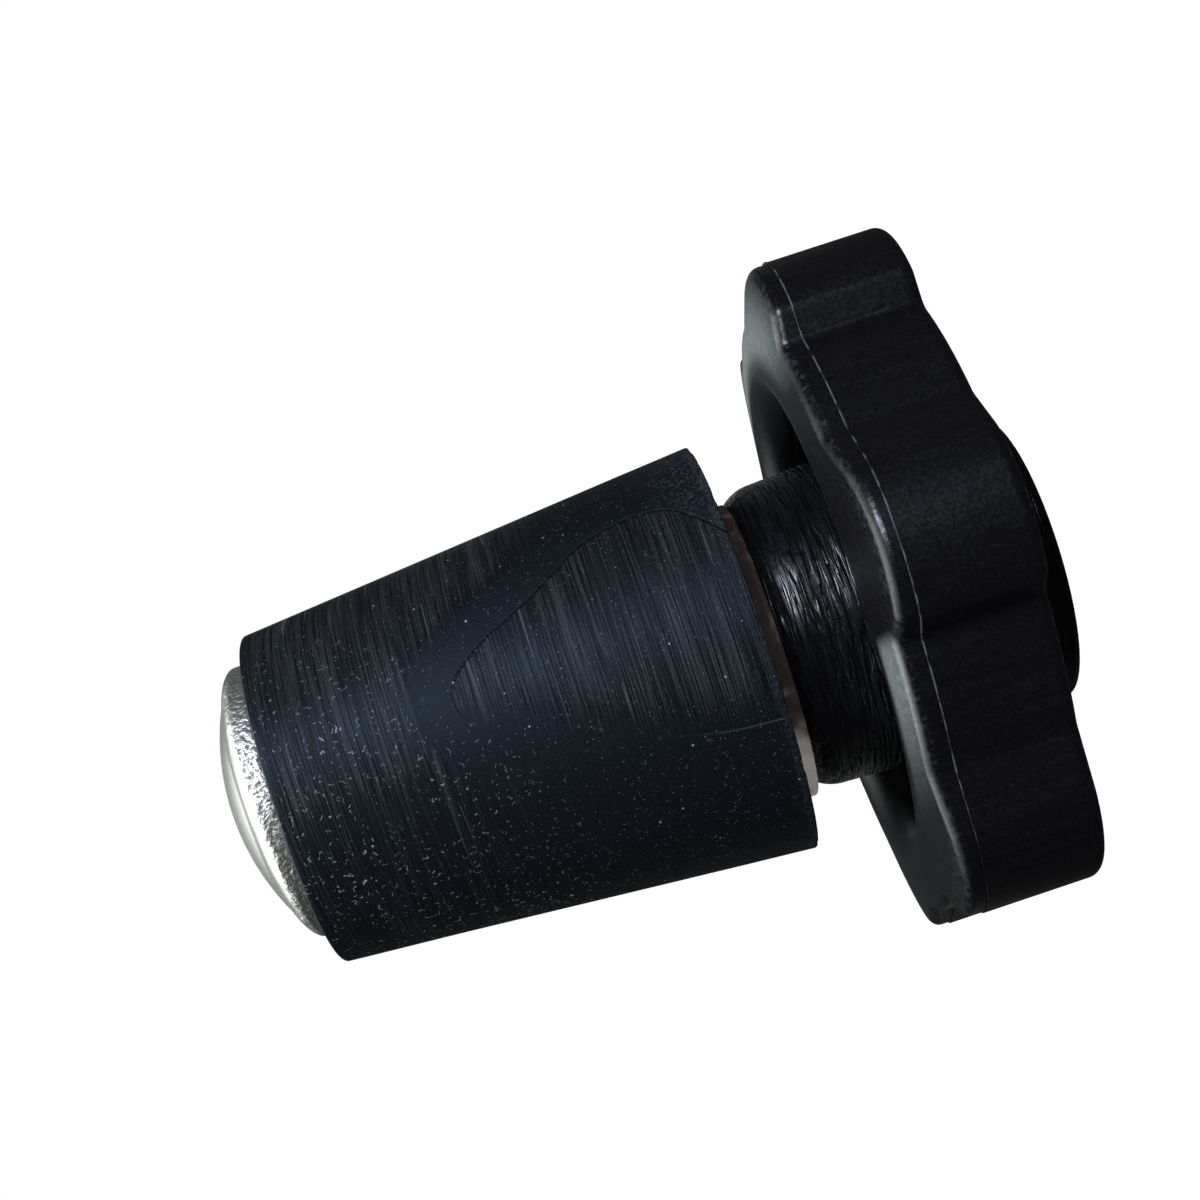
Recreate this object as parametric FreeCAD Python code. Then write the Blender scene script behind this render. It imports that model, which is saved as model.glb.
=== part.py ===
"""Expanding rubber drain plug for a boat.

A tapered rubber bung sits on a carriage bolt between the bolt's head and a plain washer.
A moulded hand knob with a nut inside runs on the bolt's thread. Turning it pulls the head
towards the washer, so the rubber shortens, swells and grips the drain hole.

Axis along +Z. The knob's rear boss stands on the plane Z = 0 and the bolt's head is on top.
All sizes are millimetres, all angles degrees.
"""

import FreeCAD, Part
import math
import os

# Rubber bung
BUNG_NARROW_D = 24.4
BUNG_WIDE_D = 30.3
BUNG_LENGTH = 33.75
BUNG_EDGE_R = 0.45
BUNG_BORE_D = 8.4

# Carriage bolt, M8 with a domed head
BOLT_D = 7.9
BOLT_LENGTH = 50.0
BOLT_END_CHAMFER = 1.0
HEAD_D = 20.65
HEAD_HEIGHT = 4.85
HEAD_EDGE_HEIGHT = 1.4
HEAD_EDGE_R = 0.5
HEAD_SHOULDER_INSET = 1.7
HEAD_SHOULDER_HEIGHT = 2.7
HEAD_SHOULDER_BULGE = 0.22
NECK_WIDTH = 8.0
NECK_LENGTH = 4.4
NECK_SOCKET_CLEARANCE = 0.05
NECK_SOCKET_EXTRA_DEPTH = 0.3

# Plain steel washer, a loose fit on the bolt, so it hangs to one side
WASHER_D = 22.0
WASHER_BORE_D = 9.0
WASHER_THICKNESS = 1.5
WASHER_EDGE_R = 0.2
WASHER_TOUCH_CLEARANCE = 0.05

# Hexagon nut, M8, moulded into the knob
NUT_ACROSS_FLATS = 13.0
NUT_THICKNESS = 6.5
NUT_RUNNING_CLEARANCE = 0.05
NUT_CORNER_CHAMFER_ANGLE = 30.0
NUT_FLOOR = 6.6

# Knob: hub, rim with lobes, web and rear boss
HUB_FRONT_D = 22.3
HUB_DRAFT_ANGLE = 3.0
HUB_RISE = 4.9
HUB_EDGE_LENGTH = 1.9
HUB_EDGE_INSET = 0.75
HUB_EDGE_BULGE = 0.18
HUB_ROOT_R = 0.8
KNOB_BORE_D = 9.0
KNOB_BORE_END_WALL = 1.2
RIM_HEIGHT = 10.7
FRONT_BAND_HEIGHT = 2.25
FRONT_BAND_INSET = 0.12
FRONT_FALL_ANGLE = 8.0
FRONT_EDGE_R = 0.8
BACK_EDGE_R = 0.9
HOLLOW_D = 31.6
HOLLOW_DEPTH = 6.9
HOLLOW_DRAFT_ANGLE = 2.0
HOLLOW_MOUTH_R = 2.6
HOLLOW_FLOOR_R = 0.8
BOSS_D = 20.9
BOSS_HEIGHT = 4.4
BOSS_EDGE_R = 0.55
BOSS_ROOT_R = 0.4

# Lobes round the rim, each with a steep flank, a crowned back and a long easy flank
LOBE_COUNT = 6
VALLEY_R = 22.45
STEEP_TIP_RISE = 1.9
CREST_RISE = 3.3
TAIL_TIP_RISE = 2.1
STEEP_FOOT_ANGLE = -18.4
STEEP_TIP_ANGLE = -15.2
CREST_ANGLE = -1.5
TAIL_TIP_ANGLE = 9.0
TAIL_FOOT_ANGLE = 18.4
LOBE_TIP_EDGE_R = 1.3
LOBE_FOOT_R = 0.6
KNOB_CLOCK_ANGLE = -83.0

# Heights of the stack, from the plane that the boss stands on
RIM_BACK_Z = BOSS_HEIGHT
RIM_FRONT_Z = RIM_BACK_Z + RIM_HEIGHT
PARTING_Z = RIM_FRONT_Z - FRONT_BAND_HEIGHT
HOLLOW_FLOOR_Z = RIM_FRONT_Z - HOLLOW_DEPTH
HUB_FRONT_Z = RIM_FRONT_Z + HUB_RISE
WASHER_TOP_Z = HUB_FRONT_Z + WASHER_THICKNESS
BUNG_TOP_Z = WASHER_TOP_Z + BUNG_LENGTH
BOLT_END_Z = BUNG_TOP_Z - BOLT_LENGTH

UP = FreeCAD.Vector(0, 0, 1)
ORIGIN = FreeCAD.Vector(0, 0, 0)


def at(radius, height):
    """A point of a turned outline, in the XZ plane."""
    return FreeCAD.Vector(radius, 0, height)


def polar(radius, angle):
    """A point at a radius and an angle in degrees, on the plane Z = 0."""
    turn = math.radians(angle)
    return FreeCAD.Vector(radius * math.cos(turn), radius * math.sin(turn), 0)


def line(start, end):
    return Part.LineSegment(start, end).toShape()


def arc(start, middle, end):
    return Part.Arc(start, middle, end).toShape()


def eased(radius):
    """How far the middle of a quarter round of this radius lies inside each of its two sides."""
    return radius * (1 - math.cos(math.radians(45)))


def bulged(start, end, bulge):
    """The middle point of an arc between two points of a turned outline, pushed away from the axis side."""
    middle = (start + end) / 2
    along = end - start
    along.normalize()
    return middle + FreeCAD.Vector(along.z, 0, -along.x) * bulge


def turned(edges):
    """A full revolve about Z of a closed outline in the XZ plane."""
    face = Part.Face(Part.Wire(edges))
    return face.revolve(ORIGIN, UP, 360).removeSplitter()


def turned_points(points):
    """A full revolve about Z of straight runs through the points."""
    loop = points + [points[0]]
    return turned([line(a, b) for a, b in zip(loop, loop[1:])])


def circles_at(shape, radius, height, slack=0.05):
    """The circular edges of one radius at one height."""
    found = []
    for edge in shape.Edges:
        if edge.Degenerated or not isinstance(edge.Curve, Part.Circle):
            continue
        curve = edge.Curve
        if abs(curve.Radius - radius) < slack and abs(curve.Center.z - height) < slack:
            found.append(edge)
    return found


def rod(diameter, low, high):
    """A plain cylinder about Z between two heights."""
    return Part.makeCylinder(diameter / 2, high - low, FreeCAD.Vector(0, 0, low))


def square_bar(width, low, high):
    """A square bar about Z between two heights."""
    corner = FreeCAD.Vector(-width / 2, -width / 2, low)
    return Part.makeBox(width, width, high - low, corner)


def hexagon_bar(across_flats, low, high):
    """A hexagonal bar about Z between two heights."""
    corner_r = across_flats / 2 / math.cos(math.radians(30))
    points = [polar(corner_r, 60 * step) for step in range(7)]
    face = Part.Face(Part.makePolygon(points))
    bar = face.extrude(UP * (high - low))
    bar.translate(UP * low)
    return bar


def make_rubber_bung():
    """Tapered rubber, wide end on the washer, with a bore and the square seat of the neck."""
    cone = Part.makeCone(BUNG_WIDE_D / 2, BUNG_NARROW_D / 2, BUNG_LENGTH)
    cone.translate(UP * WASHER_TOP_Z)
    ends = circles_at(cone, BUNG_WIDE_D / 2, WASHER_TOP_Z)
    ends += circles_at(cone, BUNG_NARROW_D / 2, BUNG_TOP_Z)
    rounded = cone.makeFillet(BUNG_EDGE_R, ends)
    bore = rod(BUNG_BORE_D, WASHER_TOP_Z - 1, BUNG_TOP_Z + 1)
    socket_width = NECK_WIDTH + 2 * NECK_SOCKET_CLEARANCE
    socket_floor = BUNG_TOP_Z - NECK_LENGTH - NECK_SOCKET_EXTRA_DEPTH
    socket = square_bar(socket_width, socket_floor, BUNG_TOP_Z + 1)
    return rounded.cut(bore).cut(socket).removeSplitter()


def make_carriage_bolt():
    """Domed head with a blunt edge, square neck and round shank in one forging."""
    edge_r = HEAD_D / 2
    base = BUNG_TOP_Z
    shoulder_r = edge_r - HEAD_SHOULDER_INSET
    corner = eased(HEAD_EDGE_R)
    under = at(edge_r - HEAD_EDGE_R, base)
    side_low = at(edge_r, base + HEAD_EDGE_R)
    side_high = at(edge_r, base + HEAD_EDGE_HEIGHT)
    shoulder = at(shoulder_r, base + HEAD_SHOULDER_HEIGHT)
    round_over = bulged(side_high, shoulder, HEAD_SHOULDER_BULGE)
    crown = at(0, base + HEAD_HEIGHT)
    dome_rise = HEAD_HEIGHT - HEAD_SHOULDER_HEIGHT
    dome_r = (shoulder_r ** 2 + dome_rise ** 2) / (2 * dome_rise)
    half_way = shoulder_r / 2
    dome_middle = at(half_way, base + HEAD_HEIGHT - dome_r + math.sqrt(dome_r ** 2 - half_way ** 2))
    head = turned([
        line(at(0, base), under),
        arc(under, at(edge_r - corner, base + corner), side_low),
        line(side_low, side_high),
        arc(side_high, round_over, shoulder),
        arc(shoulder, dome_middle, crown),
        line(crown, at(0, base)),
    ])
    neck = square_bar(NECK_WIDTH, base - NECK_LENGTH, base)
    shank = rod(BOLT_D, BOLT_END_Z, base)
    shank = shank.makeChamfer(BOLT_END_CHAMFER, circles_at(shank, BOLT_D / 2, BOLT_END_Z))
    return head.fuse([neck, shank]).removeSplitter()


def make_pressure_washer():
    """Flat washer whose bore leans on the bolt, so its rim stands out on one side."""
    washer = rod(WASHER_D, HUB_FRONT_Z, WASHER_TOP_Z)
    rims = circles_at(washer, WASHER_D / 2, HUB_FRONT_Z)
    rims += circles_at(washer, WASHER_D / 2, WASHER_TOP_Z)
    washer = washer.makeFillet(WASHER_EDGE_R, rims)
    washer = washer.cut(rod(WASHER_BORE_D, HUB_FRONT_Z - 1, WASHER_TOP_Z + 1))
    hang = (WASHER_BORE_D - BOLT_D) / 2 - WASHER_TOUCH_CLEARANCE
    washer.translate(FreeCAD.Vector(-hang, 0, 0))
    return washer


def make_knob_nut():
    """Hexagon nut with its corners turned off at both ends."""
    top = NUT_FLOOR + NUT_THICKNESS
    corner_r = NUT_ACROSS_FLATS / 2 / math.cos(math.radians(30))
    drop = (corner_r - NUT_ACROSS_FLATS / 2) * math.tan(math.radians(NUT_CORNER_CHAMFER_ANGLE))
    turned_form = turned_points([
        at(0, NUT_FLOOR),
        at(NUT_ACROSS_FLATS / 2, NUT_FLOOR),
        at(corner_r, NUT_FLOOR + drop),
        at(corner_r, top - drop),
        at(NUT_ACROSS_FLATS / 2, top),
        at(0, top),
    ])
    nut = hexagon_bar(NUT_ACROSS_FLATS, NUT_FLOOR, top).common(turned_form)
    thread_d = BOLT_D + 2 * NUT_RUNNING_CLEARANCE
    return nut.cut(rod(thread_d, NUT_FLOOR - 1, top + 1)).removeSplitter()


def lobe_outline():
    """The rim's outline: valleys on one circle, and lobes with a steep flank, a crown and an easy flank."""
    pitch = 360 / LOBE_COUNT
    edges = []
    for index in range(LOBE_COUNT):
        centre = index * pitch
        steep_foot = polar(VALLEY_R, centre + STEEP_FOOT_ANGLE)
        steep_tip = polar(VALLEY_R + STEEP_TIP_RISE, centre + STEEP_TIP_ANGLE)
        crest = polar(VALLEY_R + CREST_RISE, centre + CREST_ANGLE)
        tail_tip = polar(VALLEY_R + TAIL_TIP_RISE, centre + TAIL_TIP_ANGLE)
        tail_foot = polar(VALLEY_R, centre + TAIL_FOOT_ANGLE)
        next_foot_angle = centre + pitch + STEEP_FOOT_ANGLE
        valley_middle = polar(VALLEY_R, (centre + TAIL_FOOT_ANGLE + next_foot_angle) / 2)
        edges.append(line(steep_foot, steep_tip))
        edges.append(arc(steep_tip, crest, tail_tip))
        edges.append(line(tail_tip, tail_foot))
        edges.append(arc(tail_foot, valley_middle, polar(VALLEY_R, next_foot_angle)))
    return Part.Wire(edges)


def upright_edges(shape, low_r, high_r):
    """The edges parallel to Z whose distance from the axis lies in a range."""
    found = []
    for edge in shape.Edges:
        if edge.Degenerated or not isinstance(edge.Curve, Part.Line):
            continue
        if abs(edge.Curve.Direction.z) < 0.999:
            continue
        place = edge.Vertexes[0].Point
        if low_r < math.hypot(place.x, place.y) < high_r:
            found.append(edge)
    return found


def rounded_outline():
    """The lobes' outline with its tips and feet rounded, as a wire on Z = 0."""
    prism = Part.Face(lobe_outline()).extrude(UP)
    tip_limit = VALLEY_R + min(STEEP_TIP_RISE, TAIL_TIP_RISE) / 2
    outer_limit = VALLEY_R + 2 * CREST_RISE
    prism = prism.makeFillet(LOBE_TIP_EDGE_R, upright_edges(prism, tip_limit, outer_limit))
    prism = prism.makeFillet(LOBE_FOOT_R, upright_edges(prism, VALLEY_R / 2, tip_limit))
    for face in prism.Faces:
        if abs(face.CenterOfMass.z) < 0.001:
            return face.OuterWire
    raise RuntimeError("the rim's outline has no lower face")


def edges_at_height(shape, height):
    """The edges that lie wholly at one height."""
    found = []
    for edge in shape.Edges:
        box = edge.BoundBox
        if abs(box.ZMin - height) < 0.001 and abs(box.ZMax - height) < 0.001:
            found.append(edge)
    return found


def front_fall(crown_r, reach_r):
    """What is above the rim's front face, which falls away outwards from a crown circle."""
    drop = (reach_r - crown_r) * math.tan(math.radians(FRONT_FALL_ANGLE))
    return turned_points([
        at(crown_r, RIM_FRONT_Z),
        at(reach_r, RIM_FRONT_Z - drop),
        at(reach_r, RIM_FRONT_Z + 1),
        at(crown_r, RIM_FRONT_Z + 1),
    ])


def outer_front_edges(band):
    """The edges where the falling front face meets the rim's side."""
    for face in band.Faces:
        if isinstance(face.Surface, Part.Cone):
            return max(face.Wires, key=lambda wire: wire.Length).Edges
    raise RuntimeError("the rim has no falling front face")


def make_rim():
    """The lobed rim: the main wall, and the front band that the parting line sets off."""
    outline = rounded_outline()
    main = Part.Face(outline).extrude(UP * (PARTING_Z - RIM_BACK_Z))
    main.translate(UP * RIM_BACK_Z)
    main = main.makeFillet(BACK_EDGE_R, edges_at_height(main, RIM_BACK_Z))
    inset = outline.makeOffset2D(-FRONT_BAND_INSET)
    band = Part.Face(inset).extrude(UP * FRONT_BAND_HEIGHT)
    band.translate(UP * PARTING_Z)
    crown_r = HOLLOW_D / 2 + HOLLOW_MOUTH_R
    band = band.cut(front_fall(crown_r, VALLEY_R + 2 * CREST_RISE))
    band = band.makeFillet(FRONT_EDGE_R, outer_front_edges(band))
    rim = main.fuse(band)
    rim.rotate(ORIGIN, UP, KNOB_CLOCK_ANGLE)
    return rim


def make_hollow():
    """The ring-shaped hollow round the hub, with a soft mouth and rounded floor corners."""
    wall_lean = math.tan(math.radians(HOLLOW_DRAFT_ANGLE))
    mouth_r = HOLLOW_D / 2
    floor_r = mouth_r - HOLLOW_DEPTH * wall_lean
    above = RIM_FRONT_Z + 1
    blank = turned_points([
        at(0, HOLLOW_FLOOR_Z),
        at(floor_r, HOLLOW_FLOOR_Z),
        at(mouth_r, RIM_FRONT_Z),
        at(mouth_r, above),
        at(0, above),
    ])
    blank = blank.makeFillet(HOLLOW_FLOOR_R, circles_at(blank, floor_r, HOLLOW_FLOOR_Z))
    flare = turned([
        line(at(0, RIM_FRONT_Z - HOLLOW_MOUTH_R), at(mouth_r, RIM_FRONT_Z - HOLLOW_MOUTH_R)),
        arc(at(mouth_r, RIM_FRONT_Z - HOLLOW_MOUTH_R),
            at(mouth_r + eased(HOLLOW_MOUTH_R), RIM_FRONT_Z - eased(HOLLOW_MOUTH_R)),
            at(mouth_r + HOLLOW_MOUTH_R, RIM_FRONT_Z)),
        line(at(mouth_r + HOLLOW_MOUTH_R, RIM_FRONT_Z), at(mouth_r + HOLLOW_MOUTH_R, above)),
        line(at(mouth_r + HOLLOW_MOUTH_R, above), at(0, above)),
        line(at(0, above), at(0, RIM_FRONT_Z - HOLLOW_MOUTH_R)),
    ])
    return blank.fuse(flare)


def make_hub():
    """The hub, wider towards its root, with an eased front edge."""
    lean = math.tan(math.radians(HUB_DRAFT_ANGLE))
    front_r = HUB_FRONT_D / 2
    root_r = front_r + (HUB_FRONT_Z - HOLLOW_FLOOR_Z) * lean
    foot = at(0, HOLLOW_FLOOR_Z)
    root = at(root_r, HOLLOW_FLOOR_Z)
    ease_start = at(front_r + HUB_EDGE_LENGTH * lean, HUB_FRONT_Z - HUB_EDGE_LENGTH)
    ease_end = at(front_r - HUB_EDGE_INSET, HUB_FRONT_Z)
    crown = at(0, HUB_FRONT_Z)
    return turned([
        line(foot, root),
        line(root, ease_start),
        arc(ease_start, bulged(ease_start, ease_end, HUB_EDGE_BULGE), ease_end),
        line(ease_end, crown),
        line(crown, foot),
    ])


def make_boss():
    """The round boss on the knob's back, which the plug stands on."""
    boss = rod(BOSS_D, 0, RIM_BACK_Z)
    return boss.makeFillet(BOSS_EDGE_R, circles_at(boss, BOSS_D / 2, 0))


def make_hand_knob():
    """One moulding: lobed rim, web, hub and boss, with the nut's pocket and a blind bore."""
    knob = make_rim().cut(make_hollow())
    knob = knob.fuse([make_hub(), make_boss()]).removeSplitter()
    knob = knob.makeFillet(BOSS_ROOT_R, circles_at(knob, BOSS_D / 2, RIM_BACK_Z))
    hub_root_r = HUB_FRONT_D / 2
    hub_root_r += (HUB_FRONT_Z - HOLLOW_FLOOR_Z) * math.tan(math.radians(HUB_DRAFT_ANGLE))
    knob = knob.makeFillet(HUB_ROOT_R, circles_at(knob, hub_root_r, HOLLOW_FLOOR_Z))
    knob = knob.cut(rod(KNOB_BORE_D, KNOB_BORE_END_WALL, HUB_FRONT_Z + 1))
    pocket = hexagon_bar(NUT_ACROSS_FLATS, NUT_FLOOR, NUT_FLOOR + NUT_THICKNESS)
    return knob.cut(pocket)


NODES = {
    "rubber_bung": make_rubber_bung,
    "carriage_bolt": make_carriage_bolt,
    "pressure_washer": make_pressure_washer,
    "knob_nut": make_knob_nut,
    "hand_knob": make_hand_knob,
}

os.makedirs("parts", exist_ok=True)
for name, make in NODES.items():
    shape = make()
    if not shape.isValid() or len(shape.Solids) != 1:
        raise RuntimeError(name + " is not one valid solid")
    shape.exportStep("parts/" + name + ".step")
    print(name, round(shape.Volume), "mm3")
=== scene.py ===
"""Looks of an expanding drain plug for a boat: rubber bung, bolt, washer, hand knob and a plain studio."""

import math

import bmesh
import bpy
from mathutils import Euler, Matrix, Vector, noise


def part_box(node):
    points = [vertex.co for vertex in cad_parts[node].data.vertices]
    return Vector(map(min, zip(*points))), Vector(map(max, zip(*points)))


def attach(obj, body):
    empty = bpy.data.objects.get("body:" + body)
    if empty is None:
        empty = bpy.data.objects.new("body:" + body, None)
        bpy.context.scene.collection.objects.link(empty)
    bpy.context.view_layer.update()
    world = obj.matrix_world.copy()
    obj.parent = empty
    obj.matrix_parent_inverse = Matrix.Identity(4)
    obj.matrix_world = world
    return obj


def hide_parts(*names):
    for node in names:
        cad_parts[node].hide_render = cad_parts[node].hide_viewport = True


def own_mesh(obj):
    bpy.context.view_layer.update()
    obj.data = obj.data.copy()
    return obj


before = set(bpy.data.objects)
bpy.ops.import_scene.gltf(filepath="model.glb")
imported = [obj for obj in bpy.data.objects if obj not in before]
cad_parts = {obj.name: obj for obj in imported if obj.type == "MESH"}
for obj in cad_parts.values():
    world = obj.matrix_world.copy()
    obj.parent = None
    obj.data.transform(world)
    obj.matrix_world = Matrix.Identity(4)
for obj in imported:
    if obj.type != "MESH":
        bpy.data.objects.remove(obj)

bl_info = {
    "name": "Drain plug looks",
    "version": (1, 0, 0),
    "blender": (4, 5, 0),
    "location": "View3D > Sidebar > Drain plug",
    "description": "Dresses the packed drain plug and sets up its studio",
    "category": "Object",
}

MM = 0.001
BUNG_LOW, BUNG_HIGH = (Vector(corner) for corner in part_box("rubber_bung"))
BOLT_LOW, BOLT_HIGH = (Vector(corner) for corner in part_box("carriage_bolt"))
WASHER_REACH = -Vector(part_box("pressure_washer")[0]).x

# The edge of the tongue that the rubber left as it flowed in the mould: angle in degrees, height in mm
TONGUE_EDGE = [
    (-70, 20.5), (-57.5, 22.7), (-48.3, 24.7), (-46.3, 27.6), (-49, 30.8), (-56.6, 33.3),
    (-62.5, 35.8), (-66.6, 38.2), (-72.3, 40.4), (-77.2, 41.6), (-81.6, 41.9), (-87, 41.7), (-89.8, 41),
]
# The fine light line below it, where two flows met
KNIT_LINE = [(-103, 34.1), (-108.8, 29.6), (-112.7, 25.6), (-113.3, 21.9)]


def linear(colour):
    """An sRGB hex colour as linear RGBA."""
    channels = [int(colour[i:i + 2], 16) / 255 for i in (1, 3, 5)]
    return [c / 12.92 if c <= 0.04045 else ((c + 0.055) / 1.055) ** 2.4 for c in channels] + [1.0]


class BungLooks(bpy.types.PropertyGroup):
    narrow_d: bpy.props.FloatProperty(
        name="Narrow diameter", description="Rubber across its end at the bolt's head",
        default=24.4 * MM, unit="LENGTH", precision=4)
    bore_d: bpy.props.FloatProperty(
        name="Bore", description="Hole for the bolt", default=8.4 * MM, unit="LENGTH", precision=4)
    neck_room_d: bpy.props.FloatProperty(
        name="Neck room", description="Seat round the bolt's square neck",
        default=11.5 * MM, unit="LENGTH", precision=4)
    neck_room_depth: bpy.props.FloatProperty(
        name="Neck room depth", description="Depth of the seat of the square neck",
        default=4.7 * MM, unit="LENGTH", precision=4)
    edge_r: bpy.props.FloatProperty(
        name="Edge radius", description="Rounding of both ends", default=0.15 * MM, unit="LENGTH", precision=5)
    end_lift: bpy.props.FloatProperty(
        name="End lift", description="How far the narrow end is cut out of square, outside the bolt's head",
        default=0.65 * MM, unit="LENGTH", precision=5)
    end_lip: bpy.props.FloatProperty(
        name="End lip", description="How far the wide end is pressed past the washer's face", default=0.22 * MM,
        unit="LENGTH", precision=5)
    edge_wear: bpy.props.FloatProperty(
        name="Edge wear", description="How far the wide edge crumbles", default=0.12 * MM,
        unit="LENGTH", precision=5)
    rubber: bpy.props.FloatVectorProperty(
        name="Rubber", description="Colour of the rubber", subtype="COLOR", size=4,
        default=linear("#090B0F"))
    dust: bpy.props.FloatVectorProperty(
        name="Dust", description="Colour of specks and fibres", subtype="COLOR", size=4,
        default=linear("#8E9499"))


class BoltLooks(bpy.types.PropertyGroup):
    edge_height: bpy.props.FloatProperty(
        name="Edge height", description="Upright part of the head's rim", default=1.4 * MM,
        unit="LENGTH", precision=4)
    shoulder_inset: bpy.props.FloatProperty(
        name="Shoulder inset", description="From the head's rim in to its dome", default=1.7 * MM,
        unit="LENGTH", precision=4)
    shoulder_height: bpy.props.FloatProperty(
        name="Shoulder height", description="From under the head up to its dome", default=2.7 * MM,
        unit="LENGTH", precision=4)
    under_r: bpy.props.FloatProperty(
        name="Under edge radius", description="Rounding under the rim", default=0.62 * MM,
        unit="LENGTH", precision=4)
    shank_d: bpy.props.FloatProperty(
        name="Shank", description="Thickness of the shank", default=7.9 * MM, unit="LENGTH", precision=4)
    neck_width: bpy.props.FloatProperty(
        name="Neck width", description="Width of the square neck", default=8 * MM,
        unit="LENGTH", precision=4)
    neck_length: bpy.props.FloatProperty(
        name="Neck length", description="Length of the square neck", default=4.4 * MM,
        unit="LENGTH", precision=4)
    head_offset: bpy.props.FloatProperty(
        name="Head offset", description="How far the head sits off the shank's axis", default=0.17 * MM,
        unit="LENGTH", precision=5)
    pitting: bpy.props.FloatProperty(
        name="Pitting", description="Depth of the tumbled rim's pits", default=0.045 * MM,
        unit="LENGTH", precision=5)
    metal: bpy.props.FloatVectorProperty(
        name="Metal", description="Colour of the clean metal", subtype="COLOR", size=4,
        default=linear("#DDDBD5"))
    pits: bpy.props.FloatVectorProperty(
        name="Pits", description="Colour down in the pits", subtype="COLOR", size=4,
        default=linear("#5C5142"))


class KnobLooks(bpy.types.PropertyGroup):
    plastic: bpy.props.FloatVectorProperty(
        name="Plastic", description="Colour of the moulded knob", subtype="COLOR", size=4,
        default=linear("#0B0A0E"))
    # Partly the colour of rubbed edges, partly painted light: it also pales the rim's edge bands as painted highlight
    # and the hub's ridges as painted reflection.
    scuff_and_highlight: bpy.props.FloatVectorProperty(
        name="Scuffs", description="Colour of rubbed edges", subtype="COLOR", size=4,
        default=linear("#70757A"))
    parting_height: bpy.props.FloatProperty(
        name="Parting height", description="Height of the mould's parting line", default=12.85 * MM,
        unit="LENGTH", precision=5)
    flash_width: bpy.props.FloatProperty(
        name="Flash width", description="Width of the raised parting line", default=0.12 * MM,
        unit="LENGTH", precision=5)


class StudioLooks(bpy.types.PropertyGroup):
    lens: bpy.props.FloatProperty(
        name="Lens", description="Focal length in millimetres", default=58.82, unit="CAMERA")
    shift: bpy.props.FloatVectorProperty(
        name="Shift", description="Framing of the picture", size=2, default=(-0.0976, 0.1964))
    place: bpy.props.FloatVectorProperty(
        name="Camera place", description="Where the camera stands", size=3, unit="LENGTH",
        default=(-12.02 * MM, -141.89 * MM, 32.54 * MM), precision=4)
    turn: bpy.props.FloatVectorProperty(
        name="Camera turn", description="Which way the camera looks", size=3, unit="ROTATION",
        default=tuple(math.radians(angle) for angle in (-84.06, 71.436, -174.367)))
    window_power: bpy.props.FloatProperty(
        name="Window power", description="Power of the large soft lamp in watts", default=0.95, unit="POWER")
    top_power: bpy.props.FloatProperty(
        name="Top power", description="Power of the lamp over the bolt's head in watts", default=0.52,
        unit="POWER")
    fill: bpy.props.FloatProperty(
        name="Fill", description="Brightness of the even light", default=0.22, subtype="FACTOR")
    shine: bpy.props.FloatProperty(
        name="Shine", description="How bright shiny surfaces see the backdrop", default=0.15, subtype="FACTOR")
    dim: bpy.props.FloatProperty(
        name="Dim side", description="How bright shiny surfaces see the room on the camera's side", default=0.015,
        subtype="FACTOR")
    over: bpy.props.FloatProperty(
        name="Over the head", description="How bright shiny surfaces see the room past the bolt's head", default=1.3,
        subtype="FACTOR")


class DrainPlugLooks(bpy.types.PropertyGroup):
    bung: bpy.props.PointerProperty(type=BungLooks)
    bolt: bpy.props.PointerProperty(type=BoltLooks)
    knob: bpy.props.PointerProperty(type=KnobLooks)
    studio: bpy.props.PointerProperty(type=StudioLooks)


def add(tree, kind, inputs=None, **settings):
    """Adds a node, with its settings, and its inputs as values or as the sockets that feed them."""
    node = tree.nodes.new(kind)
    for name, value in settings.items():
        setattr(node, name, value)
    for name, value in (inputs or {}).items():
        if isinstance(value, bpy.types.NodeSocket):
            tree.links.new(value, node.inputs[name])
        else:
            node.inputs[name].default_value = value
    return node


def new_material(name):
    """An empty material with its Principled shader."""
    material = bpy.data.materials.new(name)
    material.use_nodes = True
    tree = material.node_tree
    tree.nodes.clear()
    shader = add(tree, "ShaderNodeBsdfPrincipled")
    add(tree, "ShaderNodeOutputMaterial", {"Surface": shader.outputs["BSDF"]})
    return material, tree, shader


def feed(tree, shader, **sockets):
    """Links sockets into the shader's inputs; underscores stand for spaces."""
    for name, socket in sockets.items():
        tree.links.new(socket, shader.inputs[name.replace("_", " ")])


def object_coords(tree, scale=(1, 1, 1)):
    """Object coordinates, stretched by a scale in repeats per metre."""
    coords = add(tree, "ShaderNodeTexCoord").outputs["Object"]
    return add(tree, "ShaderNodeMapping", {"Vector": coords, "Scale": scale}).outputs["Vector"]


def ramp(tree, value, low, high, to_low=0.0, to_high=1.0):
    """A smooth step from one value to another, where the input goes from low to high."""
    node = add(tree, "ShaderNodeMapRange", {
        "Value": value, "From Min": low, "From Max": high, "To Min": to_low, "To Max": to_high,
    }, interpolation_type="SMOOTHSTEP")
    return node.outputs["Result"]


def combine(tree, operation, first, second):
    """One sum, product or other operation on two values."""
    return add(tree, "ShaderNodeMath", {0: first, 1: second}, operation=operation).outputs["Value"]


def blend_colour(tree, factor, first, second):
    """A mix of two colours."""
    return add(tree, "ShaderNodeMixRGB", {"Fac": factor, "Color1": first, "Color2": second}).outputs["Color"]


def grain(tree, vector, scale=1.0, detail=2.0):
    """A soft noise of the given repeats."""
    node = add(tree, "ShaderNodeTexNoise", {"Vector": vector, "Scale": scale, "Detail": detail})
    return node.outputs["Fac"]


def bumps(tree, height, depth):
    """A normal from a height of 0 to 1 that stands for a depth in metres."""
    return add(tree, "ShaderNodeBump", {"Height": height, "Distance": depth}).outputs["Normal"]


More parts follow.
